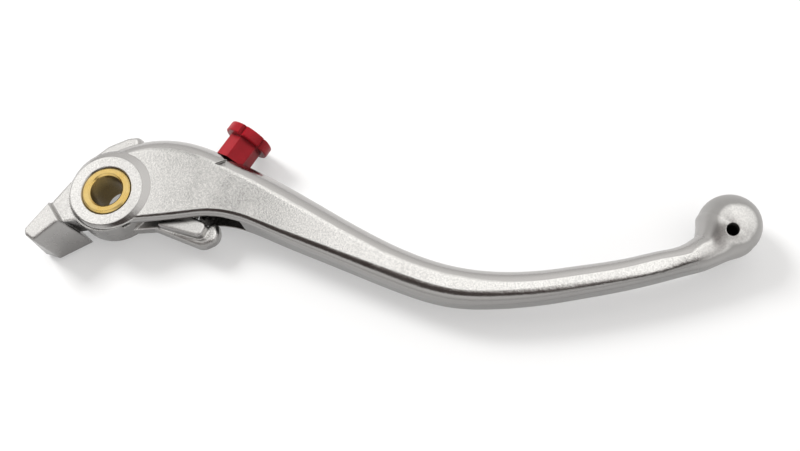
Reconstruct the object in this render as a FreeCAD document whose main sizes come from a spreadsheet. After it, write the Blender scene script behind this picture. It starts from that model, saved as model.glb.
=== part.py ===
import FreeCAD, Part
import math
import os
import Sketcher

Vector = FreeCAD.Vector
Z_AXIS = Vector(0, 0, 1)

# Driving dimensions in millimetres and degrees. The pivot axis is Z, the blade runs along +X,
# +Y is the front of the machine and z = 0 is the middle of the pivot bush.
SIZES = {
    # Pivot bush
    "bush_length": 12.0,
    "bush_outer_radius": 6.0,
    "bush_bore_radius": 4.0,
    "bush_chamfer": 0.45,
    "bush_clearance": 0.05,
    # Eye of the blade
    "eye_radius": 9.25,
    "eye_top": 5.7,
    "eye_edge": 0.25,
    "eye_mouth": 0.35,
    "lower_eye_radius": 8.2,
    "skirt_shift": 1.0,
    "skirt_angle": 25.0,
    "skirt_lip": 0.15,
    "skirt_sink": 0.1,
    # Thickness of the blade along Z
    "root_thickness": 10.3,
    "neck_thickness": 8.0,
    "throat_thickness": 9.4,
    # Edge rounding of the blade, front and rear
    "root_front_round": 4.4,
    "middle_front_round": 4.5,
    "neck_front_round": 2.6,
    "root_rear_round": 1.2,
    "middle_rear_round": 1.9,
    "bend_rear_round": 3.0,
    "neck_rear_round": 2.2,
    # Ball at the end of the blade
    "ball_x": 147.8,
    "ball_y": -12.5,
    "ball_radius": 7.25,
    "ball_heading": 52.0,
    "ball_hole_radius": 1.45,
    "ball_hole_aside": -1.1,
    "ball_hole_offset": -3.2,
    "ball_hole_depth": 7.0,
    # Channel in the root of the blade
    "channel_half_height": 3.3,
    "channel_end": 33.2,
    "channel_front": 10.4,
    "lug_gap": 0.4,
    "lower_plate_edge": 0.8,
    "opening_end": 21.0,
    "web_depth": 6.0,
    "web_side": 4.5,
    "channel_slant": 3.5,
    # Index mark beside the dial
    "mark_tip_along": -4.0,
    "mark_tip_across": -1.1,
    "mark_tip_level": 4.5,
    "mark_near_along": -1.3,
    "mark_near_across": 0.3,
    "mark_near_level": 3.6,
    "mark_far_along": -3.3,
    "mark_far_across": 1.6,
    "mark_far_level": 4.9,
    # Arm
    "arm_half_height": 3.0,
    "hub_radius": 10.1,
    "eye_gap": 0.35,
    "rim_top": 4.5,
    "rim_start": 148.0,
    "rim_sweep": 148.0,
    "nose_top": 6.1,
    "nose_bottom": -6.2,
    "ledge_top": -0.2,
    "pad_top": 2.2,
    "follower_width": 0.7,
    "follower_height": 0.8,
    "follower_offset": 1.8,
    "follower_side": 0.3,
    "follower_rise": 1.95,
    "tab_face_right": 4.7,
    "tab_face_left": -12.9,
    "tab_horn_right": 5.1,
    "tab_horn_rise": 4.18,
    "cheek_start": 0.45,
    "cheek_end": 0.98,
    "foot_reach": 1.06,
    "nose_round": 0.9,
    "lug_round": 2.0,
    "lug_edge": 1.5,
    "lug_clear": 0.6,
    "tab_clear": 5.0,
    "tab_edge": 1.0,
    "tab_round": 3.0,
    "tab_face_round": 1.3,
    "pad_round": 1.5,
    "pad_tip_round": 0.5,
    "nose_edge": 0.6,
    "cove_round": 0.85,
    "pad_edge": 0.5,
    "cam_gap": 0.35,
    # Reach dial
    "dial_x": 29.5,
    "dial_y": 9.05,
    "dial_heading": 57.0,
    "head_radius": 5.95,
    "head_thickness": 2.7,
    "head_edge": 0.4,
    "notch_side": 1.7,
    "notch_depth": 0.8,
    "stem_radius": 4.4,
    "stem_length": 5.6,
    "stem_seat": 0.6,
    "stem_clearance": 0.3,
    "shank_radius": 2.4,
    "shank_clearance": 0.05,
    "cam_depth": 15.8,
    "cam_step": 0.3,
    # Retaining clip on the shank
    "clip_radius": 3.0,
    "clip_thickness": 0.8,
    "clip_gap": 0.25,
    "clip_grip": 0.05,
    "clip_mouth": 2.8,
    "groove_radius": 1.9,
    "groove_play": 0.1,
    # Preload spring under the hub
    "spring_radius": 7.8,
    "spring_wire": 0.4,
    "spring_leg_wire": 0.42,
    "spring_pitch": 0.9,
    "spring_turns": 1.5,
    "spring_play": 0.45,
    "spring_leg": 2.0,
    "spring_angle": 30.0,
    "leg_hole_radius": 1.04,
}

# Middle of the blade and its depth, front to rear, from the eye to the neck
BLADE_STATIONS = [
    (-6.5, 0.2, 13.0),
    (0.0, 1.5, 20.2),
    (9.0, 3.5, 22.4),
    (20.0, 2.9, 20.4),
    (27.8, 1.0, 16.4),
    (35.9, -2.1, 13.9),
    (43.9, -6.3, 12.9),
    (53.9, -11.8, 11.3),
    (64.0, -17.2, 9.9),
    (74.0, -22.0, 9.3),
    (84.0, -25.3, 9.0),
    (94.0, -26.4, 8.0),
    (104.0, -26.1, 7.3),
    (114.0, -24.9, 6.9),
    (124.0, -23.4, 6.5),
    (132.0, -21.7, 6.3),
    (138.0, -20.2, 6.6),
    (141.17, -18.8, 7.65),
]

# Where the neck runs into the ball: degrees round the ball from the neck's side, and how far the neck
# stands outside the ball there, to the sides and upwards, and off its middle
BALL_SECTIONS = [
    (23.1, 1.83, 2.35, 0.23),
    (43.9, 0.5, 0.87, 0.0),
    (63.3, 0.25, 0.27, 0.0),
    (78.5, -0.2, -0.2, 0.0),
]

# Largest share of a section's width that one rounded corner may take
ROUND_SHARE = 0.49

# Positions of the dial, and a distance beyond every edge of the blade's root
DIAL_POSITIONS = 6
DIAL_STEP = 360 / DIAL_POSITIONS
BEYOND = 40.0

# Two lengths closer than this are the same
NEAR = 1e-3

# Share of the way from the pivot to a piece's far corner that is well inside the piece
INSIDE_SHARE = 0.85

# Corners of the arm's flat outlines, in the plane of the lever
ARM_OUTLINES = {
    "nose": [(-9.9, 3.0), (-19.3, -9.4), (-18.9, -10.9), (-16.7, -12.6), (-10.8, -7.4),
             (-7.2, -7.0), (-3.0, -4.0), (-3.0, 3.0)],
    "foot": [(-19.5, -11.6), (-15.3, -13.0), (-7.2, -8.9)],
    "lug": [(-10.1, 5.6), (-6.6, 10.2), (-2.4, 13.6), (2.6, 15.7), (5.4, 15.9), (6.3, 15.0),
            (6.3, 9.0), (0.0, 8.0), (-8.0, 0.0)],
    "tab": [(4.0, -8.4), (10.6, -8.2), (22.9, -13.5), (27.6, -11.6)],
    "pad": [(11.0, -7.75), (20.2, -5.9), (24.9, -8.2), (23.2, -11.7)],
}

doc = FreeCAD.newDocument("BrakeLever")
sheet = doc.addObject("Spreadsheet::Sheet", "Sizes")


def fill_sheet():
    rows = dict(SIZES)
    for number, (x, y, depth) in enumerate(BLADE_STATIONS, start=1):
        rows[f"station{number}_x"] = x
        rows[f"station{number}_y"] = y
        rows[f"station{number}_depth"] = depth
    for outline, corners in ARM_OUTLINES.items():
        for number, (x, y) in enumerate(corners, start=1):
            rows[f"{outline}{number}_x"] = x
            rows[f"{outline}{number}_y"] = y
    for row, (name, value) in enumerate(rows.items(), start=1):
        sheet.set(f"A{row}", name)
        sheet.set(f"B{row}", str(value))
        sheet.setAlias(f"B{row}", name)
    doc.recompute()


def size(name):
    return float(sheet.get(name))


def bind(thing, **expressions):
    for name, expression in expressions.items():
        thing.setExpression(name, expression)
    return thing


def lift(thing, expression):
    thing.setExpression("Placement.Base.z", expression)
    return thing


def cylinder(name, radius, height, bottom="0"):
    made = doc.addObject("Part::Cylinder", name)
    bind(made, Radius=radius, Height=height)
    return lift(made, bottom)


def extrusion(name, sketch, bottom, top):
    made = doc.addObject("Part::Extrusion", name)
    made.Base = sketch
    made.DirMode = "Normal"
    made.Solid = True
    bind(made, LengthFwd=f"{top} - ({bottom})")
    return lift(made, bottom)


def corner(outline, number):
    return f"Sizes.{outline}{number}_x", f"Sizes.{outline}{number}_y"


def corners_of(outline):
    return [corner(outline, number) for number in range(1, len(ARM_OUTLINES[outline]) + 1)]


def between_corners(outline, first, last, share):
    """Point on an outline's side, at a share of the way along it."""
    return tuple(f"{start} + ({end} - {start}) * Sizes.{share}"
                 for start, end in zip(corner(outline, first), corner(outline, last)))


def by_tab_face(across, rise="0"):
    """Point to the side of the dial's axis, on the tab's face towards the dial or standing out of it."""
    depth = f"(Sizes.cam_depth + Sizes.cam_gap + Sizes.follower_rise - {rise})"
    heading = "(Sizes.dial_heading * 1 deg)"
    return (f"Sizes.dial_x - {depth} * cos{heading} + Sizes.{across} * sin{heading}",
            f"Sizes.dial_y - {depth} * sin{heading} - Sizes.{across} * cos{heading}")


def outline_points(corners):
    return [Vector(float(sheet.evalExpression(x)), float(sheet.evalExpression(y)), 0) for x, y in corners]


def outline_sketch(name, corners):
    """Closed outline whose corners are held by their sizes."""
    points = outline_points(corners)
    sketch = doc.addObject("Sketcher::SketchObject", f"{name}_outline")
    for start, end in zip(points, points[1:] + points[:1]):
        sketch.addGeometry(Part.LineSegment(start, end))
    for line, point in enumerate(points):
        sketch.addConstraint(Sketcher.Constraint("Coincident", line, 2, (line + 1) % len(points), 1))
        for along, place, expression in zip(("DistanceX", "DistanceY"), (point.x, point.y), corners[line]):
            number = sketch.addConstraint(Sketcher.Constraint(along, -1, 1, line, 1, place))
            sketch.setExpression(f"Constraints[{number}]", expression)
    return sketch


def prism(name, corners, bottom, top):
    """Solid between two levels with a flat outline."""
    points = [Vector(x, y, bottom) for x, y in corners]
    made = doc.addObject("Part::Feature", name)
    made.Shape = Part.Face(Part.makePolygon(points + points[:1])).extrude(Vector(0, 0, top - bottom))
    return made


def wedge(name, floor, top):
    """Solid between a slanted three-cornered floor and a level top."""
    ceiling = [Vector(point.x, point.y, top) for point in floor]
    sides = []
    for first, last in ((0, 1), (1, 2), (2, 0)):
        sides.append([floor[first], floor[last], ceiling[last], ceiling[first]])
    faces = [Part.Face(Part.makePolygon(points + points[:1])) for points in sides + [floor, ceiling]]
    made = doc.addObject("Part::Feature", name)
    made.Shape = Part.Solid(Part.Shell(faces))
    return made


def fuse(name, pieces):
    made = doc.addObject("Part::MultiFuse", name)
    made.Shapes = pieces
    made.Refine = True
    doc.recompute()
    return made


def cut(name, base, tools):
    made = doc.addObject("Part::Cut", name)
    made.Base = base
    made.Tool = tools[0] if len(tools) == 1 else fuse(f"{name}_tools", tools)
    made.Refine = True
    doc.recompute()
    return made


def round_edges(name, base, radius, chosen, kind="Part::Fillet"):
    """Fillet or chamfer on the edges that the given test picks."""
    made = doc.addObject(kind, name)
    made.Base = base
    picked = [number for number, edge in enumerate(base.Shape.Edges, start=1)
              if not edge.Degenerated and chosen(edge)]
    made.Edges = [(number, radius, radius) for number in picked]
    doc.recompute()
    return made


def is_circle(edge, radius, level):
    curve = edge.Curve
    return (isinstance(curve, Part.Circle) and abs(curve.Radius - radius) < NEAR
            and abs(curve.Center.z - level) < NEAR)


def is_level(edge, level):
    return all(abs(vertex.Point.z - level) < NEAR for vertex in edge.Vertexes) and (
        abs(edge.CenterOfMass.z - level) < NEAR)


def lies_between(edge, ends):
    """Straight edge that lies on the line between the two given points."""
    (x1, y1), (x2, y2) = ends
    run = math.hypot(x2 - x1, y2 - y1)
    offsets = [abs((vertex.Point.x - x1) * (y2 - y1) - (vertex.Point.y - y1) * (x2 - x1)) / run
               for vertex in edge.Vertexes]
    return max(offsets) < NEAR


def is_upright(edge, corners):
    """Upright edge that stands on one of the given corners."""
    if len(edge.Vertexes) != 2:
        return False
    first, last = (vertex.Point for vertex in edge.Vertexes)
    upright = math.hypot(first.x - last.x, first.y - last.y) < NEAR
    return upright and any(math.hypot(first.x - x, first.y - y) < NEAR for x, y in corners)


def middle_of(edge):
    return edge.valueAt((edge.FirstParameter + edge.LastParameter) / 2)


def stands_clear(edge, distance):
    """Edge whose middle is farther from the hub than the given size."""
    middle = middle_of(edge)
    return math.hypot(middle.x, middle.y) > size("hub_radius") + size(distance)


def stands_under(edge, points):
    """Steep edge whose upper end is one of the given points, seen from above."""
    low, high = sorted((vertex.Point for vertex in edge.Vertexes), key=lambda point: point.z)
    steep = high.z - low.z > NEAR
    return steep and any(math.hypot(high.x - point.x, high.y - point.y) < NEAR for point in points)


# Dial axis: a point on the blade's front edge and a heading in the plane of the lever
def dial_direction():
    heading = math.radians(size("dial_heading"))
    return Vector(math.cos(heading), math.sin(heading), 0)


def dial_point(along, across=0.0):
    direction = dial_direction()
    side = Vector(direction.y, -direction.x, 0)
    return Vector(size("dial_x"), size("dial_y"), 0) + direction * along + side * across


def dial_placement(along=0.0):
    turned = FreeCAD.Rotation(Z_AXIS, size("dial_heading")) * FreeCAD.Rotation(Vector(0, 1, 0), 90)
    return FreeCAD.Placement(dial_point(along), turned)


# Pivot bush
def make_bush():
    barrel = cylinder("bush_barrel", "Sizes.bush_outer_radius", "Sizes.bush_length", "-Sizes.bush_length / 2")
    bore = cylinder("bush_bore", "Sizes.bush_bore_radius", "Sizes.bush_length", "-Sizes.bush_length / 2")
    tube = cut("bush_tube", barrel, [bore])
    return round_edges("bush_chamfers", tube, size("bush_chamfer"),
                       lambda edge: isinstance(edge.Curve, Part.Circle), "Part::Chamfer")


# Blade
def section_wire(middle, heading, depth, thickness, front_round, rear_round):
    """Upright section across the blade: four straight sides and four rounded corners."""
    across = Vector(-math.sin(heading), math.cos(heading), 0)
    limit = ROUND_SHARE * min(depth, thickness)
    front_round = min(front_round, limit)
    rear_round = min(rear_round, limit)

    def point(front, up):
        return middle + across * front + Z_AXIS * up

    half_depth = depth / 2
    half_thickness = thickness / 2
    corners = [(1, 1, front_round), (1, -1, front_round), (-1, -1, rear_round), (-1, 1, rear_round)]
    arcs = []
    for side, up, radius in corners:
        centre_front = side * (half_depth - radius)
        centre_up = up * (half_thickness - radius)
        on_face = point(centre_front, up * half_thickness)
        on_side = point(side * half_depth, centre_up)
        slant = radius * math.sqrt(0.5)
        middle_point = point(centre_front + side * slant, centre_up + up * slant)
        ends = (on_face, on_side) if side == up else (on_side, on_face)
        arcs.append((ends[0], middle_point, ends[1]))
    edges = []
    for arc, following in zip(arcs, arcs[1:] + arcs[:1]):
        edges.append(Part.Arc(*arc).toShape())
        edges.append(Part.LineSegment(arc[2], following[0]).toShape())
    return Part.Wire(edges)


def between(x, knots):
    """Value at x on a line through the given (x, value) knots, level beyond the ends."""
    if x <= knots[0][0]:
        return knots[0][1]
    for (left, low), (right, high) in zip(knots, knots[1:]):
        if x <= right:
            return low + (high - low) * (x - left) / (right - left)
    return knots[-1][1]


def blade_sections():
    count = len(BLADE_STATIONS)
    middles = [Vector(size(f"station{n}_x"), size(f"station{n}_y"), 0) for n in range(1, count + 1)]
    depths = [size(f"station{n}_depth") for n in range(1, count + 1)]
    ball_heading = math.radians(size("ball_heading"))
    ball_middle = Vector(size("ball_x"), size("ball_y"), 0)
    ball_direction = Vector(math.cos(ball_heading), math.sin(ball_heading), 0)
    ball_side = Vector(-ball_direction.y, ball_direction.x, 0)
    ball_radius = size("ball_radius")
    ball_entry = ball_middle - ball_direction * (ball_radius * math.cos(math.radians(BALL_SECTIONS[0][0])))
    path = middles + [ball_entry]
    root_x = middles[2].x
    grip_x = middles[6].x
    bend_x = middles[9].x
    neck_x = middles[-3].x
    thickness = [(root_x, size("root_thickness")), (neck_x, size("neck_thickness")),
                 (middles[-1].x, size("throat_thickness"))]
    front_round = [(root_x, size("root_front_round")), (grip_x, size("middle_front_round")),
                   (neck_x, size("neck_front_round")), (middles[-1].x, ball_radius)]
    rear_round = [(root_x, size("root_rear_round")), (grip_x, size("middle_rear_round")),
                  (bend_x, size("bend_rear_round")), (neck_x, size("neck_rear_round")),
                  (middles[-1].x, ball_radius)]
    wires = []
    for number, (middle, depth) in enumerate(zip(middles, depths)):
        run = path[number + 1] - path[max(number - 1, 0)]
        heading = math.atan2(run.y, run.x)
        x = middle.x
        wires.append(section_wire(middle, heading, depth, between(x, thickness),
                                  between(x, front_round), between(x, rear_round)))
    for degrees, wider, taller, aside in BALL_SECTIONS:
        angle = math.radians(degrees)
        middle = ball_middle - ball_direction * (ball_radius * math.cos(angle)) + ball_side * aside
        width = 2 * (ball_radius * math.sin(angle) + wider)
        height = 2 * (ball_radius * math.sin(angle) + taller)
        wires.append(section_wire(middle, ball_heading, width, height, ball_radius, ball_radius))
    sections = []
    for number, wire in enumerate(wires, start=1):
        section = doc.addObject("Part::Feature", f"blade_section{number}")
        section.Shape = wire
        sections.append(section)
    return sections


def skirt_foot_middle():
    angle = math.radians(size("skirt_angle"))
    shift = Vector(math.cos(angle), math.sin(angle), 0) * size("skirt_shift")
    return shift + Z_AXIS * (size("root_thickness") / 2 - size("skirt_sink"))


def make_skirt():
    """Sloped rim of the eye, wide on the side of the blade and narrow on the far side."""
    foot = doc.addObject("Part::Circle", "skirt_foot")
    bind(foot, Radius="Sizes.eye_radius + Sizes.skirt_shift + Sizes.skirt_lip")
    foot.Placement.Base = skirt_foot_middle()
    crown = doc.addObject("Part::Circle", "skirt_crown")
    bind(crown, Radius="Sizes.eye_radius - Sizes.eye_edge")
    lift(crown, "Sizes.eye_top")
    skirt = doc.addObject("Part::Loft", "blade_skirt")
    skirt.Sections = [foot, crown]
    skirt.Solid = True
    skirt.Ruled = True
    return skirt


def make_blade():
    loft = doc.addObject("Part::Loft", "blade_loft")
    loft.Sections = blade_sections()
    loft.Solid = True
    loft.Ruled = False
    ball = doc.addObject("Part::Sphere", "blade_ball")
    bind(ball, Radius="Sizes.ball_radius")
    turned = FreeCAD.Rotation(Z_AXIS, size("ball_heading")) * FreeCAD.Rotation(Vector(0, 1, 0), 90)
    ball.Placement = FreeCAD.Placement(Vector(size("ball_x"), size("ball_y"), 0), turned)
    eye = cylinder("blade_eye", "Sizes.eye_radius",
                   "(Sizes.root_thickness - Sizes.skirt_sink) / 2 - Sizes.channel_half_height",
                   "Sizes.channel_half_height")
    body = fuse("blade_body", [loft, ball, eye, make_skirt()])

    # Channel between the two plates of the root, open to the rear and under the tab
    half = size("channel_half_height")
    web = size("web_depth")
    left = size("lug6_x") + size("lug_gap")
    end = size("channel_end")
    lower_edge = size("lower_plate_edge")
    web_left = dial_point(-web, -size("web_side"))
    web_right = dial_point(-web, size("web_side"))
    slant_end = (end, web_right.y - size("channel_slant"))
    channel = prism("blade_channel", [
        (-BEYOND, BEYOND), (left, BEYOND), (left, size("channel_front")), (web_left.x, web_left.y),
        (web_right.x, web_right.y), slant_end, (end, -BEYOND), (-BEYOND, -BEYOND)], -half, half)
    opening_end = size("opening_end")
    opening = prism("blade_opening", [
        (-BEYOND, lower_edge), (opening_end, lower_edge), (opening_end, -BEYOND), (-BEYOND, -BEYOND)],
        -BEYOND, 0)
    root = cut("blade_root", cut("blade_channelled", body, [channel]), [opening])
    lower_eye = cylinder("blade_lower_eye", "Sizes.lower_eye_radius",
                         "Sizes.eye_top - Sizes.channel_half_height", "-Sizes.eye_top")
    forked = fuse("blade_forked", [root, lower_eye])

    # Bores and marks
    bore = cylinder("blade_bore", "Sizes.bush_outer_radius + Sizes.bush_clearance",
                    "2 * Sizes.bush_length", "-Sizes.bush_length")
    seat = doc.addObject("Part::Cylinder", "blade_stem_seat")
    bind(seat, Radius="Sizes.stem_radius + Sizes.stem_clearance",
         Height="Sizes.stem_length + Sizes.stem_seat")
    seat.Placement = dial_placement(-size("stem_seat") - size("stem_clearance"))
    hole = doc.addObject("Part::Cylinder", "blade_shank_hole")
    bind(hole, Radius="Sizes.shank_radius + Sizes.shank_clearance", Height="Sizes.cam_depth")
    hole.Placement = dial_placement(-size("cam_depth"))
    drilled = cylinder("blade_ball_hole", "Sizes.ball_hole_radius", "Sizes.ball_hole_depth",
                       "Sizes.ball_radius - Sizes.ball_hole_depth")
    bind(drilled, **{"Placement.Base.x": "Sizes.ball_x + Sizes.ball_hole_aside",
                     "Placement.Base.y": "Sizes.ball_y + Sizes.ball_hole_offset"})
    mark_floor = [dial_point(size(f"mark_{place}_along"), size(f"mark_{place}_across"))
                  + Z_AXIS * size(f"mark_{place}_level") for place in ("tip", "near", "far")]
    mark = wedge("blade_mark", mark_floor, size("root_thickness"))
    leg_middle = size("spring_angle") + REACH_DEGREES / 2
    leg_hole = cylinder("blade_leg_hole", "Sizes.leg_hole_radius", "Sizes.eye_top", "-Sizes.eye_top")
    leg_hole.Placement.Base = spring_point(leg_middle, -size("eye_top"))
    bored = cut("blade_bored", forked, [bore])
    holed = cut("blade_holed", bored, [seat, hole])
    marked = cut("blade_marked", holed, [drilled, mark, leg_hole])
    return round_edges("blade_mouth", marked, size("eye_mouth"), lambda edge: is_circle(
        edge, size("bush_outer_radius") + size("bush_clearance"), size("eye_top")), "Part::Chamfer")


# Arm
def arm_plate(name, corners, bottom, top, roundings):
    """Plate of the arm with chosen upright corners rounded, each rounding with its corners counted from 1."""
    plate = extrusion(f"arm_{name}", outline_sketch(name, corners), bottom, top)
    doc.recompute()
    points = outline_points(corners)
    for rounding, rounded in roundings.items():
        chosen = [(points[number - 1].x, points[number - 1].y) for number in rounded]
        plate = round_edges(f"arm_{name}_{rounding}", plate, size(rounding),
                            lambda edge: is_upright(edge, chosen))
    return plate


def arm_tip(top_corners, foot_corners):
    """Tip of the nose, which widens from its top down to its foot."""
    top = lift(outline_sketch("tip_top", top_corners), "Sizes.nose_top")
    foot = lift(outline_sketch("tip_foot", foot_corners), "Sizes.nose_bottom")
    tip = doc.addObject("Part::Loft", "arm_tip")
    tip.Sections = [foot, top]
    tip.Solid = True
    tip.Ruled = True
    doc.recompute()
    ends = outline_points(top_corners)[1:4]
    return round_edges("arm_tip_rounded", tip, size("nose_round"), lambda edge: stands_under(edge, ends))


def make_arm():
    hub = cylinder("arm_hub", "Sizes.hub_radius", "2 * Sizes.arm_half_height", "-Sizes.arm_half_height")
    rim = cylinder("arm_rim", "Sizes.hub_radius", "Sizes.rim_top", "0")
    bind(rim, Angle="Sizes.rim_sweep")
    rim.Placement.Rotation = FreeCAD.Rotation(Z_AXIS, size("rim_start"))
    bottom = "-Sizes.arm_half_height"
    tip = [corner("nose", 2), corner("nose", 3), corner("nose", 4)]
    cheek_start = between_corners("nose", 1, 2, "cheek_start")
    cheek_end = between_corners("nose", 4, 5, "cheek_end")
    foot_reach = between_corners("nose", 1, 2, "foot_reach")
    horn = by_tab_face("tab_horn_right", "Sizes.tab_horn_rise")
    face = [by_tab_face("tab_face_right"), by_tab_face("tab_face_left")]
    face_ends = [(point.x, point.y) for point in outline_points(face)]
    nose =arm_plate("nose", corners_of("nose"), bottom, "Sizes.rim_top", {"nose_round": (2, 3, 4)})
    nose_tip = arm_tip([cheek_start] + tip + [cheek_end], [cheek_start, foot_reach] + corners_of("foot"))
    lug = arm_plate("lug", corners_of("lug"), bottom, "Sizes.arm_half_height", {"lug_round": (2, 3, 4, 5)})
    lug = round_edges("arm_lug_soft", lug, size("lug_edge"),
                      lambda edge: is_level(edge, size("arm_half_height")) and stands_clear(edge, "lug_clear"))
    tab = arm_plate("tab", corners_of("tab") + [horn] + face, bottom, "Sizes.ledge_top",
                    {"tab_round": (3, 4), "tab_face_round": (5,)})
    tab = round_edges("arm_tab_soft", tab, size("tab_edge"),
                      lambda edge: is_level(edge, size("ledge_top")) and stands_clear(edge, "tab_clear")
                      and not lies_between(edge, face_ends))
    pad = arm_plate("pad", corners_of("pad"), bottom, "Sizes.pad_top",
                    {"pad_round": (2, 3, 4), "pad_tip_round": (1,)})
    follower = doc.addObject("Part::Box", "arm_follower")
    bind(follower, Length="Sizes.follower_height", Width="Sizes.follower_width",
         Height="2 * Sizes.follower_rise")
    aside = Vector(size("follower_offset") - size("follower_height") / 2,
                   -size("follower_side") - size("follower_width") / 2, 0)
    foot = dial_placement(-size("cam_depth") - size("cam_gap") - 2 * size("follower_rise"))
    follower.Placement = foot.multiply(FreeCAD.Placement(aside, FreeCAD.Rotation()))
    body = fuse("arm_body", [hub, rim, nose, nose_tip, lug, tab, pad, follower])

    recess = cylinder("arm_recess", "Sizes.eye_radius + Sizes.eye_gap", "Sizes.nose_top",
                      "Sizes.arm_half_height")
    skirt_recess = doc.addObject("Part::Cylinder", "arm_skirt_recess")
    bind(skirt_recess, Radius="Sizes.eye_radius + Sizes.skirt_shift + Sizes.skirt_lip + Sizes.eye_gap",
         Height="Sizes.nose_top")
    skirt_recess.Placement.Base = skirt_foot_middle() - Z_AXIS * size("eye_gap")
    bore = cylinder("arm_bore", "Sizes.bush_outer_radius + Sizes.bush_clearance", "Sizes.bush_length",
                    "-Sizes.bush_length / 2")
    spring_room = "(Sizes.spring_wire + Sizes.spring_play)"
    groove_height = f"Sizes.spring_pitch * Sizes.spring_turns + 2 * {spring_room}"
    groove_outer = cylinder("arm_groove_outer", f"Sizes.spring_radius + {spring_room}", groove_height, bottom)
    groove_inner = cylinder("arm_groove_inner", f"Sizes.spring_radius - {spring_room}", groove_height, bottom)
    groove = cut("arm_groove", groove_outer, [groove_inner])
    leg_hole = doc.addObject("Part::Cylinder", "arm_leg_hole")
    bind(leg_hole, Radius=spring_room, Height="Sizes.spring_leg")
    leg_hole.Placement.Base = spring_point(spring_end_angle(), spring_top())
    seated = cut("arm_seated", body, [recess, skirt_recess])
    bored = cut("arm_bored", seated, [bore])
    grooved = cut("arm_grooved", cut("arm_legged", bored, [leg_hole]), [groove])

    # Softened edges
    start, top_end, foot_end = outline_points([cheek_start, cheek_end, corner("foot", 3)])
    drop = (size("nose_top") - size("rim_top")) / (size("nose_top") - size("nose_bottom"))
    level_end = top_end + (foot_end - top_end) * drop
    cove_ends = [(point.x, point.y) for point in (start, level_end)]
    cove = round_edges("arm_cove", grooved, size("cove_round"),
                       lambda edge: is_level(edge, size("rim_top")) and lies_between(edge, cove_ends))
    nose_soft = round_edges("arm_nose_soft", cove, size("nose_edge"),
                            lambda edge: is_level(edge, size("nose_top")))
    pad_soft = round_edges("arm_pad_soft", nose_soft, size("pad_edge"),
                           lambda edge: is_level(edge, size("pad_top")))
    return pad_soft


# Reach dial, made along its own axis and then turned into place
def make_dial():
    head = cylinder("dial_head", "Sizes.head_radius", "Sizes.head_thickness", "Sizes.stem_length")
    doc.recompute()
    head = round_edges("dial_head_rounded", head, size("head_edge"),
                       lambda edge: isinstance(edge.Curve, Part.Circle))
    notches = []
    for number in range(DIAL_POSITIONS):
        notch = doc.addObject("Part::Box", f"dial_notch{number + 1}")
        bind(notch, Length="Sizes.notch_side", Width="Sizes.notch_side", Height="Sizes.head_thickness")
        around = FreeCAD.Placement(Vector(0, 0, 0), FreeCAD.Rotation(Z_AXIS, DIAL_STEP * number))
        tip = Vector(size("head_radius") - size("notch_depth"), 0, size("stem_length"))
        notch.Placement = around.multiply(FreeCAD.Placement(tip, FreeCAD.Rotation(Z_AXIS, -45)))
        notches.append(notch)
    notched = cut("dial_notched", head, notches)
    stem = doc.addObject("Part::Prism", "dial_stem")
    stem.Polygon = DIAL_POSITIONS
    bind(stem, Circumradius="Sizes.stem_radius", Height="Sizes.stem_length + Sizes.stem_seat")
    lift(stem, "-Sizes.stem_seat")
    lifts = DIAL_POSITIONS - 1
    shank = cylinder("dial_shank", "Sizes.shank_radius", f"Sizes.cam_depth - {lifts} * Sizes.cam_step",
                     f"{lifts} * Sizes.cam_step - Sizes.cam_depth")
    steps = []
    for number in range(lifts):
        step = cylinder(f"dial_step{number + 1}", "Sizes.shank_radius",
                        f"{DIAL_POSITIONS - number} * Sizes.cam_step",
                        f"{number} * Sizes.cam_step - Sizes.cam_depth")
        step.Angle = DIAL_STEP
        step.Placement.Rotation = FreeCAD.Rotation(Z_AXIS, DIAL_STEP * (number - 0.5))
        steps.append(step)
    solid = fuse("dial_solid", [notched, stem, shank] + steps)
    groove_width = "Sizes.clip_thickness + 2 * Sizes.groove_play"
    groove_bottom = "-Sizes.web_depth - Sizes.clip_gap - Sizes.clip_thickness - Sizes.groove_play"
    groove_outer = cylinder("dial_groove_outer", "Sizes.clip_radius", groove_width, groove_bottom)
    groove_inner = cylinder("dial_groove_inner", "Sizes.groove_radius", groove_width, groove_bottom)
    groove = cut("dial_groove", groove_outer, [groove_inner])
    dial = cut("dial_grooved", solid, [groove])
    dial.Placement = dial_placement()
    return dial


def make_clip():
    bottom = "-Sizes.web_depth - Sizes.clip_gap - Sizes.clip_thickness"
    outer = cylinder("clip_outer", "Sizes.clip_radius", "Sizes.clip_thickness", bottom)
    inner = cylinder("clip_inner", "Sizes.groove_radius + Sizes.clip_grip", "Sizes.clip_thickness", bottom)
    mouth = doc.addObject("Part::Box", "clip_mouth")
    bind(mouth, Length="Sizes.clip_radius", Width="Sizes.clip_mouth", Height="Sizes.clip_thickness",
         **{"Placement.Base.y": "-Sizes.clip_mouth / 2"})
    lift(mouth, bottom)
    clip = cut("clip_ring", outer, [inner, mouth])
    clip.Placement = dial_placement()
    return clip


# Preload spring
def spring_bottom():
    return -size("arm_half_height") + size("spring_play") + size("spring_wire")


def spring_top():
    return spring_bottom() + size("spring_pitch") * size("spring_turns")


def spring_end_angle():
    return size("spring_angle") + 360 * size("spring_turns")


def spring_point(angle, level):
    turned = math.radians(angle)
    return Vector(size("spring_radius") * math.cos(turned), size("spring_radius") * math.sin(turned), level)


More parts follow.
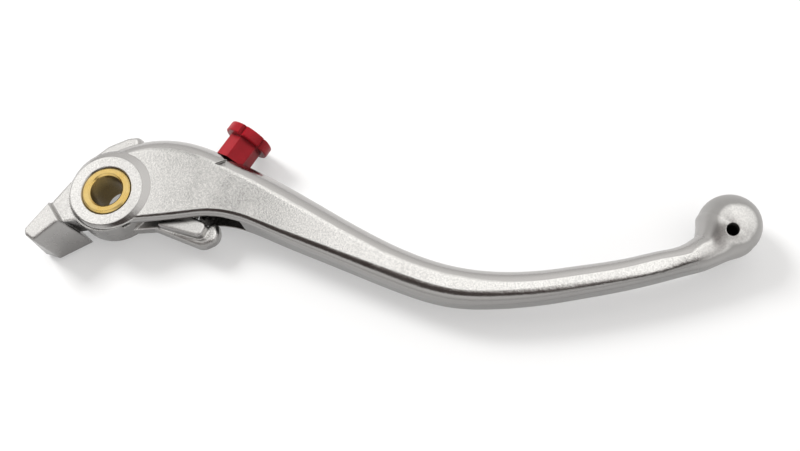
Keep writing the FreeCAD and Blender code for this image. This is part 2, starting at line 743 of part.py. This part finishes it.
def make_spring():
    path = doc.addObject("Part::Helix", "spring_path")
    bind(path, Pitch="Sizes.spring_pitch", Height="Sizes.spring_pitch * Sizes.spring_turns",
         Radius="Sizes.spring_radius")
    wire = doc.addObject("Part::Circle", "spring_wire_circle")
    bind(wire, Radius="Sizes.spring_wire")
    start = Vector(size("spring_radius"), 0, 0)
    wire.Placement = FreeCAD.Placement(start, FreeCAD.Rotation(Vector(1, 0, 0), 90))
    coil = doc.addObject("Part::Sweep", "spring_coil")
    coil.Sections = [wire]
    coil.Spine = (path, ["Edge1"])
    coil.Solid = True
    coil.Frenet = True
    lower_leg = cylinder("spring_lower_leg", "Sizes.spring_leg_wire", "Sizes.spring_leg + Sizes.spring_wire",
                         "-Sizes.spring_leg")
    bind(lower_leg, **{"Placement.Base.x": "Sizes.spring_radius"})
    upper_leg = cylinder("spring_upper_leg", "Sizes.spring_leg_wire", "Sizes.spring_leg")
    end = spring_point(360 * size("spring_turns"), 0)
    upper_leg.Placement.Base = Vector(end.x, end.y, 0)
    lift(upper_leg, "Sizes.spring_pitch * Sizes.spring_turns - Sizes.spring_wire")
    spring = fuse("spring_solid", [coil, lower_leg, upper_leg])
    turned = FreeCAD.Rotation(Z_AXIS, size("spring_angle"))
    spring.Placement = FreeCAD.Placement(Vector(0, 0, spring_bottom()), turned)
    return spring


def lost_pieces(arm):
    """Pieces of the arm that a rounding has taken away, each looked for near its far corner."""
    levels = {
        "nose": size("rim_top") / 2,
        "lug": 0,
        "tab": (size("ledge_top") - size("arm_half_height")) / 2,
        "pad": (size("pad_top") + size("ledge_top")) / 2,
    }
    lost = []
    for outline, level in levels.items():
        far_corner = max(outline_points(corners_of(outline)), key=lambda point: point.Length)
        if not arm.Shape.isInside(far_corner * INSIDE_SHARE + Z_AXIS * level, NEAR, False):
            lost.append(f"arm_{outline}")
    return lost


fill_sheet()

# Reach of the blade, from the lift of the cam and the follower's lever arm about the pivot
follower_tip = dial_point(-size("cam_depth") - size("cam_gap"), size("follower_side"))
LEVER_ARM = follower_tip.x * dial_direction().y - follower_tip.y * dial_direction().x
REACH_DEGREES = math.degrees((DIAL_POSITIONS - 1) * size("cam_step") / LEVER_ARM)

subparts = {
    "pivot_bush": make_bush(),
    "lever_blade": make_blade(),
    "pusher_arm": make_arm(),
    "adjuster_dial": make_dial(),
    "dial_clip": make_clip(),
    "preload_spring": make_spring(),
}
for name, made in subparts.items():
    made.Label = name
doc.recompute()

faults = [thing.Name for thing in doc.Objects if {"Invalid", "Error"} & set(thing.State)]
for name, made in subparts.items():
    if made.Shape.isNull() or not made.Shape.isValid() or len(made.Shape.Solids) != 1:
        faults.append(name)
if not faults:
    faults = lost_pieces(subparts["pusher_arm"])
if faults:
    raise RuntimeError("failed: " + ", ".join(faults))

os.makedirs("parts", exist_ok=True)
for name, made in subparts.items():
    made.Shape.exportStep(f"parts/{name}.step")
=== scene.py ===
import math

import bpy
from mathutils import Matrix, Vector


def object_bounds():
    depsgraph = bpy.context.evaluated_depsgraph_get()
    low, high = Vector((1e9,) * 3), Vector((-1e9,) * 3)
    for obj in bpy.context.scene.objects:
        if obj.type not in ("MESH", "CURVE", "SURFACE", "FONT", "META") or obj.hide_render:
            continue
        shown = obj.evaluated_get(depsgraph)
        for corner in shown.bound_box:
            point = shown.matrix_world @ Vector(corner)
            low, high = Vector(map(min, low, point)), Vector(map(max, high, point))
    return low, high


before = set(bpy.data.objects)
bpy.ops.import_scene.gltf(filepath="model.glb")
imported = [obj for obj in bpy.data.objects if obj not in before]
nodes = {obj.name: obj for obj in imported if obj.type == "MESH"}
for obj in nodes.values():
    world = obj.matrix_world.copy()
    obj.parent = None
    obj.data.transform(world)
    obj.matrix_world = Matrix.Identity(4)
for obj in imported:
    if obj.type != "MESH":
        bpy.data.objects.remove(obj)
cad_low, cad_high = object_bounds()
scene = bpy.context.scene
scene.view_settings.view_transform = "Standard"

MM = 0.001

# The dial's axis, how far along it the stem's seat is from the pivot, and where painted shade sets in on
# the shank below
DIAL_DIRECTION = (0.544639, 0.838671, 0.0)
SEAT_ALONG = 22.6 * MM
SHANK_SHADE_FADE = 1.4 * MM

# Where along the blade the painted lit face turns rearward, how far it leans, and where the ball begins
LEAN_FROM = 85.0 * MM
LEAN_TO = 115.0 * MM
LEAN_RIGHT = 0.08
LEAN_FRONT = -0.20
BALL_FROM = 137.0 * MM
BALL_TO = 144.0 * MM

# How the ball differs from the blade: start of its painted lit face, painted shade on its sides and a
# duller polish
BALL_BRIGHT_FROM = 0.80
BALL_PAINTED_SHADE = 0.4
BALL_DULLER = 0.22

# Colours of the part, the aluminium's painted lit tone and painted side shade among them
PAINTED_LIT_TONE = (0.86, 0.85, 0.83)
# Painted shade: the tone of the aluminium's sides, darker still where they face the rear
PAINTED_SIDE_SHADE = (0.47, 0.46, 0.45)
SPECK_SHADE = 0.84
REAR_SHADE = 0.62
BRASS_DARK = (0.78, 0.54, 0.17)
BRASS_LIGHT = (0.88, 0.66, 0.27)
# Edge tone: edge wear with a painted highlight
BRASS_WORN_AND_LIT = (0.92, 0.74, 0.36)
RED_DARK = (0.29, 0.006, 0.013)
RED_LIGHT = (0.37, 0.009, 0.018)
# Edge tone: edge wear with a painted highlight
RED_WORN_AND_LIT = (0.46, 0.03, 0.04)
STEEL_DARK = (0.30, 0.30, 0.31)
STEEL_LIGHT = (0.52, 0.52, 0.53)
# Painted shade: near-black for the dial's shank below the seat
SHANK_SHADE = (0.02, 0.018, 0.017)
# Painted shade: the tone laid into hollows
PAINTED_HOLLOW_SHADE = (0.05, 0.045, 0.04)

# Colours and strengths of the studio
FLOOR_GREY = (0.62, 0.62, 0.62)
FLOOR_GLOW = 0.33
PANEL_WHITE = (1.0, 0.99, 0.975)
FLAG_BROWN = (0.06, 0.046, 0.043)


# Node helpers
def new_material(name):
    """Empty material, with its tree and the socket that takes its surface."""
    material = bpy.data.materials.new(name)
    material.use_nodes = True
    tree = material.node_tree
    tree.nodes.clear()
    output = tree.nodes.new("ShaderNodeOutputMaterial")
    return material, tree, output.inputs["Surface"]


def new_shader(name, metallic):
    material, tree, surface = new_material(name)
    shader = tree.nodes.new("ShaderNodeBsdfPrincipled")
    shader.inputs["Metallic"].default_value = metallic
    tree.links.new(shader.outputs["BSDF"], surface)
    return material, tree, shader


def wire(tree, shader, colour, roughness, normal):
    for name, socket in (("Base Color", colour), ("Roughness", roughness), ("Normal", normal)):
        tree.links.new(socket, shader.inputs[name])


def add_node(tree, kind, **values):
    node = tree.nodes.new(kind)
    for name, value in values.items():
        setattr(node, name, value)
    return node


def place(tree):
    return add_node(tree, "ShaderNodeTexCoord").outputs["Object"]


def split(tree, vector):
    node = add_node(tree, "ShaderNodeSeparateXYZ")
    tree.links.new(vector, node.inputs["Vector"])
    return node.outputs


def stretched(tree, scale, turn):
    """Position on the part, turned about Z and stretched."""
    mapping = add_node(tree, "ShaderNodeMapping")
    mapping.inputs["Scale"].default_value = scale
    mapping.inputs["Rotation"].default_value = (0.0, 0.0, turn)
    tree.links.new(place(tree), mapping.inputs["Vector"])
    return mapping.outputs["Vector"]


def noise(tree, vector, scale, detail, roughness=0.55):
    node = add_node(tree, "ShaderNodeTexNoise")
    node.inputs["Scale"].default_value = scale
    node.inputs["Detail"].default_value = detail
    node.inputs["Roughness"].default_value = roughness
    tree.links.new(vector, node.inputs["Vector"])
    return node.outputs["Fac"]


def remap(tree, value, low, high, to_low, to_high):
    node = add_node(tree, "ShaderNodeMapRange")
    names = ("From Min", "From Max", "To Min", "To Max")
    for name, number in zip(names, (low, high, to_low, to_high)):
        node.inputs[name].default_value = number
    tree.links.new(value, node.inputs["Value"])
    return node.outputs["Result"]


def between(tree, share, start, end):
    """Value that goes from start to end as the share goes from 0 to 1, and no further."""
    return remap(tree, share, 0.0, 1.0, start, end)


def math_node(tree, operation, first, second):
    node = add_node(tree, "ShaderNodeMath", operation=operation)
    for socket, value in zip(node.inputs, (first, second)):
        if isinstance(value, (int, float)):
            socket.default_value = value
        else:
            tree.links.new(value, socket)
    return node.outputs["Value"]


def plus(tree, first, second):
    return math_node(tree, "ADD", first, second)


def times(tree, first, second):
    return math_node(tree, "MULTIPLY", first, second)


def dot_product(tree, first, second):
    node = add_node(tree, "ShaderNodeVectorMath", operation="DOT_PRODUCT")
    for socket, value in zip(node.inputs, (first, second)):
        if isinstance(value, tuple):
            socket.default_value = value
        else:
            tree.links.new(value, socket)
    return node.outputs["Value"]


def shade(colour, share):
    return tuple(share * part for part in colour)


def mix_colour(tree, factor, first, second, blend="MIX"):
    """Mix of two colours, each a plain one or one from another node."""
    node = add_node(tree, "ShaderNodeMix", data_type="RGBA", blend_type=blend)
    tree.links.new(factor, node.inputs["Factor"])
    for name, colour in (("A", first), ("B", second)):
        if isinstance(colour, tuple):
            node.inputs[name].default_value = (*colour, 1.0)
        else:
            tree.links.new(colour, node.inputs[name])
    return node.outputs["Result"]


def bump(tree, height, strength, distance, base=None):
    node = add_node(tree, "ShaderNodeBump")
    node.inputs["Strength"].default_value = strength
    node.inputs["Distance"].default_value = distance
    tree.links.new(height, node.inputs["Height"])
    if base is not None:
        tree.links.new(base, node.inputs["Normal"])
    return node.outputs["Normal"]


def soft_edges(tree, radius):
    node = add_node(tree, "ShaderNodeBevel", samples=6)
    node.inputs["Radius"].default_value = radius
    return node.outputs["Normal"]


def surface_normal(tree):
    return add_node(tree, "ShaderNodeNewGeometry").outputs["Normal"]


def facing_up(tree, lean):
    """How far the surface faces up, or up and rearward where it leans."""
    upward = add_node(tree, "ShaderNodeCombineXYZ")
    tree.links.new(times(tree, lean, LEAN_RIGHT), upward.inputs["X"])
    tree.links.new(times(tree, lean, LEAN_FRONT), upward.inputs["Y"])
    upward.inputs["Z"].default_value = 1.0
    return dot_product(tree, surface_normal(tree), upward.outputs["Vector"])


def facing_rear(tree):
    return remap(tree, split(tree, surface_normal(tree))["Y"], -0.9, -0.3, 1.0, 0.0)


def shaded_in_hollows(tree, colour, reach, depth, clear):
    """Colour with painted shade in hollows narrower than the given reach, fading where they are open
    enough.
    """
    hollow = add_node(tree, "ShaderNodeAmbientOcclusion", samples=8)
    hollow.inputs["Distance"].default_value = reach
    hollow_shade = remap(tree, hollow.outputs["AO"], 0.25 * clear, clear, depth, 0.0)
    return mix_colour(tree, hollow_shade, colour, PAINTED_HOLLOW_SHADE, "MULTIPLY")


def worn_and_highlit(tree, colour, worn_and_lit_tone, radius, strength):
    """Colour brightened in patches along the edges: edge wear, with a painted highlight along them."""
    flatness = dot_product(tree, soft_edges(tree, radius), surface_normal(tree))
    edge = remap(tree, flatness, 0.80, 0.97, 1.0, 0.0)
    patch = remap(tree, noise(tree, place(tree), scale=480.0, detail=4.0), 0.35, 0.65, 0.2, 1.0)
    wear_and_highlight = times(tree, times(tree, edge, patch), strength)
    return mix_colour(tree, wear_and_highlight, colour, worn_and_lit_tone)


# Aluminium: faces painted a bright lit tone with a satin speckle, sides painted a greyer shade, and a
# duller ball
def aluminium(name, bright_from, roughness, grain, edge):
    material, tree, shader = new_shader(name, metallic=1.0)
    cloud = noise(tree, place(tree), scale=130.0, detail=5.0, roughness=0.6)
    speck = noise(tree, place(tree), scale=2300.0, detail=3.0)
    brushed = stretched(tree, (260.0, 1500.0, 1500.0), math.radians(-24.0))
    streak = noise(tree, brushed, scale=1.0, detail=3.0)
    along = split(tree, place(tree))["X"]
    on_ball = remap(tree, along, BALL_FROM, BALL_TO, 0.0, 1.0)
    lean = remap(tree, along, LEAN_FROM, LEAN_TO, 0.0, 1.0)

    # The painted lit face ends in a line that wanders a little, and more softly on the ball
    start = between(tree, on_ball, bright_from, BALL_BRIGHT_FROM)
    uneven = remap(tree, cloud, 0.3, 0.7, -1.0, 1.0)
    wander = times(tree, uneven, between(tree, on_ball, 0.004, 0.05))
    above = math_node(tree, "SUBTRACT", plus(tree, facing_up(tree, lean), wander), start)
    softness = between(tree, on_ball, 0.018, 0.09)
    flat = between(tree, math_node(tree, "DIVIDE", above, softness), 0.0, 1.0)

    # Painted shade: sides that face the rear are greyer still, and on the ball all sides are a little
    rearward = times(tree, facing_rear(tree), between(tree, on_ball, 1.0, 0.0))
    rearward = plus(tree, rearward, times(tree, on_ball, BALL_PAINTED_SHADE))
    sides = mix_colour(tree, rearward, PAINTED_SIDE_SHADE, shade(PAINTED_SIDE_SHADE, REAR_SHADE))
    tone = remap(tree, speck, 0.38, 0.62, 0.0, 1.0)
    # Painted light: faces turned up take the bright lit tone, speckled
    faces = mix_colour(tree, tone, shade(PAINTED_LIT_TONE, SPECK_SHADE), PAINTED_LIT_TONE)
    colour = mix_colour(tree, flat, sides, faces)
    # Edge wear, with a painted highlight along the edges
    colour = worn_and_highlit(tree, colour, PAINTED_LIT_TONE, radius=0.5 * MM, strength=0.6)
    # Painted shade in hollows
    colour = shaded_in_hollows(tree, colour, reach=6.0 * MM, depth=0.92, clear=0.38)

    level = remap(tree, cloud, 0.3, 0.7, roughness - 0.05, roughness + 0.06)
    level = plus(tree, level, between(tree, on_ball, 0.0, BALL_DULLER))
    height = plus(tree, times(tree, streak, 0.12), speck)
    normal = bump(tree, height, grain, 0.06 * MM, soft_edges(tree, edge))
    wire(tree, shader, colour, level, normal)
    return material


# Turned brass: fine rings round the pivot axis, with painted shade in the bore
def brass():
    material, tree, shader = new_shader("brass", metallic=1.0)
    rings = add_node(tree, "ShaderNodeTexWave", wave_type="RINGS", rings_direction="Z")
    rings.inputs["Scale"].default_value = 900.0
    rings.inputs["Distortion"].default_value = 0.6
    tree.links.new(place(tree), rings.inputs["Vector"])
    cloud = noise(tree, place(tree), scale=420.0, detail=4.0)
    colour = mix_colour(tree, remap(tree, cloud, 0.35, 0.7, 0.0, 1.0), BRASS_DARK, BRASS_LIGHT)
    # Edge wear, with a painted highlight along the edges
    colour = worn_and_highlit(tree, colour, BRASS_WORN_AND_LIT, radius=0.3 * MM, strength=0.5)
    # Painted shade in hollows, the bore among them
    colour = shaded_in_hollows(tree, colour, reach=12.0 * MM, depth=0.85, clear=0.6)
    level = remap(tree, cloud, 0.3, 0.7, 0.24, 0.36)
    normal = bump(tree, rings.outputs["Fac"], 0.25, 0.03 * MM, soft_edges(tree, 0.15 * MM))
    wire(tree, shader, colour, level, normal)
    return material


# Moulded plastic: a little uneven in gloss, finely textured, with painted shade turning the shank
# near-black below the seat
def plastic():
    material, tree, shader = new_shader("red_plastic", metallic=0.0)
    shader.inputs["Specular IOR Level"].default_value = 0.18
    cloud = noise(tree, place(tree), scale=260.0, detail=4.0)
    speck = noise(tree, place(tree), scale=2200.0, detail=3.0)
    colour = mix_colour(tree, remap(tree, cloud, 0.35, 0.7, 0.0, 1.0), RED_DARK, RED_LIGHT)
    # Edge wear, with a painted highlight along the edges
    colour = worn_and_highlit(tree, colour, RED_WORN_AND_LIT, radius=0.4 * MM, strength=0.4)
    # Painted shade in hollows
    colour = shaded_in_hollows(tree, colour, reach=6.0 * MM, depth=0.97, clear=0.75)
    # Painted shade: the shank below the seat turns near-black
    along = dot_product(tree, place(tree), DIAL_DIRECTION)
    shank_shade_mask = remap(tree, along, SEAT_ALONG - SHANK_SHADE_FADE, SEAT_ALONG, 1.0, 0.0)
    colour = mix_colour(tree, shank_shade_mask, colour, SHANK_SHADE)
    level = remap(tree, speck, 0.3, 0.7, 0.28, 0.42)
    normal = bump(tree, speck, 0.2, 0.04 * MM, soft_edges(tree, 0.25 * MM))
    wire(tree, shader, colour, level, normal)
    return material


# Drawn spring steel: dark and finely mottled
def spring_steel():
    material, tree, shader = new_shader("spring_steel", metallic=1.0)
    mottle = noise(tree, place(tree), scale=1800.0, detail=4.0)
    colour = mix_colour(tree, mottle, STEEL_DARK, STEEL_LIGHT)
    level = remap(tree, mottle, 0.3, 0.7, 0.28, 0.45)
    wire(tree, shader, colour, level, bump(tree, mottle, 0.15, 0.03 * MM))
    return material


def dress(node, material):
    data = nodes[node].data
    data.materials.clear()
    data.materials.append(material)


steel = spring_steel()
dress("lever_blade", aluminium("polished_aluminium", 0.975, roughness=0.20, grain=0.35, edge=0.4 * MM))
dress("pusher_arm", aluminium("cast_aluminium", 0.90, roughness=0.28, grain=0.5, edge=0.9 * MM))
dress("pivot_bush", brass())
dress("adjuster_dial", plastic())
dress("dial_clip", steel)
dress("preload_spring", steel)


# Floor, a hair below the part
FLOOR_REACH = 3.0
FLOOR_GAP = 0.2 * MM


def make_floor():
    mesh = bpy.data.meshes.new("floor")
    level = cad_low.z - FLOOR_GAP
    corners = [(-1, -1), (1, -1), (1, 1), (-1, 1)]
    points = [(x * FLOOR_REACH, y * FLOOR_REACH, level) for x, y in corners]
    mesh.from_pydata(points, [], [(0, 1, 2, 3)])
    floor = bpy.data.objects.new("floor", mesh)
    scene.collection.objects.link(floor)
    material, tree, surface = new_material("floor")
    diffuse = tree.nodes.new("ShaderNodeBsdfDiffuse")
    diffuse.inputs["Color"].default_value = (*FLOOR_GREY, 1.0)
    rays = tree.nodes.new("ShaderNodeLightPath").outputs
    seen = plus(tree, rays["Is Camera Ray"], rays["Is Glossy Ray"])
    seen = plus(tree, seen, rays["Is Transmission Ray"])
    glow = tree.nodes.new("ShaderNodeEmission")
    tree.links.new(times(tree, seen, FLOOR_GLOW), glow.inputs["Strength"])
    both = tree.nodes.new("ShaderNodeAddShader")
    tree.links.new(diffuse.outputs["BSDF"], both.inputs[0])
    tree.links.new(glow.outputs["Emission"], both.inputs[1])
    tree.links.new(both.outputs["Shader"], surface)
    mesh.materials.append(material)


make_floor()

# Studio light from the front left, not seen in reflections
KEY_PLACE = Vector((-0.5, 0.5, 0.7))
KEY_SIDE = 0.30
KEY_WATTS = 7.5
key_data = bpy.data.lights.new("key", "AREA")
key_data.shape = "SQUARE"
key_data.size = KEY_SIDE
key_data.energy = KEY_WATTS
key = bpy.data.objects.new("key", key_data)
scene.collection.objects.link(key)
key.location = KEY_PLACE
key.rotation_mode = "QUATERNION"
key.rotation_quaternion = ((cad_low + cad_high) / 2 - KEY_PLACE).to_track_quat("-Z", "Y")
key.visible_glossy = False

# How far left the ceiling's gap lies, how fast the flag's edges swing rearward, and the lowest height used
GAP_LEFT = 0.255
FRONT_SWING = 1.8
REAR_SWING = 1.7
LOWEST_UP = 0.05


# Studio room: a pale ceiling in two panels, greyer walls and a dark flag overhead
def make_room():
    world = bpy.data.worlds.new("studio")
    scene.world = world
    world.use_nodes = True
    tree = world.node_tree
    heading = split(tree, add_node(tree, "ShaderNodeTexCoord").outputs["Generated"])
    across, along, up = heading["X"], heading["Y"], heading["Z"]
    slope = math_node(tree, "DIVIDE", along, math_node(tree, "MAXIMUM", up, LOWEST_UP))

    # The gap is dark only overhead and towards the front
    from_gap = math_node(tree, "ABSOLUTE", plus(tree, across, GAP_LEFT), 0.0)
    gap = remap(tree, from_gap, 0.02, 0.06, 1.0, 0.0)
    gap = times(tree, gap, remap(tree, up, 0.55, 0.75, 0.0, 1.0))
    gap = times(tree, gap, remap(tree, slope, 0.20, 0.32, 0.0, 1.0))
    ceiling = remap(tree, up, 0.1, 0.8, 0.75, 1.2)
    ceiling = times(tree, ceiling, math_node(tree, "SUBTRACT", 1.0, gap))

    # The flag lies between its front and rear edges
    rightward = math_node(tree, "MAXIMUM", across, 0.0)
    front_side = plus(tree, slope, times(tree, rightward, FRONT_SWING))
    rear_side = plus(tree, slope, times(tree, rightward, REAR_SWING))
    behind_front = remap(tree, front_side, 0.12, 0.18, 1.0, 0.0)
    before_rear = remap(tree, rear_side, -0.95, -0.80, 0.0, 1.0)
    flag = times(tree, behind_front, before_rear)
    background = tree.nodes["Background"]
    tree.links.new(mix_colour(tree, flag, PANEL_WHITE, FLAG_BROWN), background.inputs["Color"])
    tree.links.new(ceiling, background.inputs["Strength"])


make_room()

# Camera at the photograph's viewing angle
FOCAL_PIXELS = 900.0
IMAGE_WIDTH = 800.0
SENSOR = 36.0
CAMERA_PLACE = Vector((90.885, -85.737, 200.448)) * MM
CAMERA_ROLL = math.radians(5.5)
CAMERA_TILT = math.radians(20.7)
camera_data = bpy.data.cameras.new("camera")
camera_data.sensor_width = SENSOR
camera_data.lens = FOCAL_PIXELS / IMAGE_WIDTH * SENSOR
camera_data.clip_start = 0.01
camera_data.clip_end = 20.0
camera = bpy.data.objects.new("camera", camera_data)
scene.collection.objects.link(camera)
turned = Matrix.Rotation(CAMERA_ROLL, 4, "Y") @ Matrix.Rotation(CAMERA_TILT, 4, "X")
camera.matrix_world = Matrix.Translation(CAMERA_PLACE) @ turned
scene.camera = camera
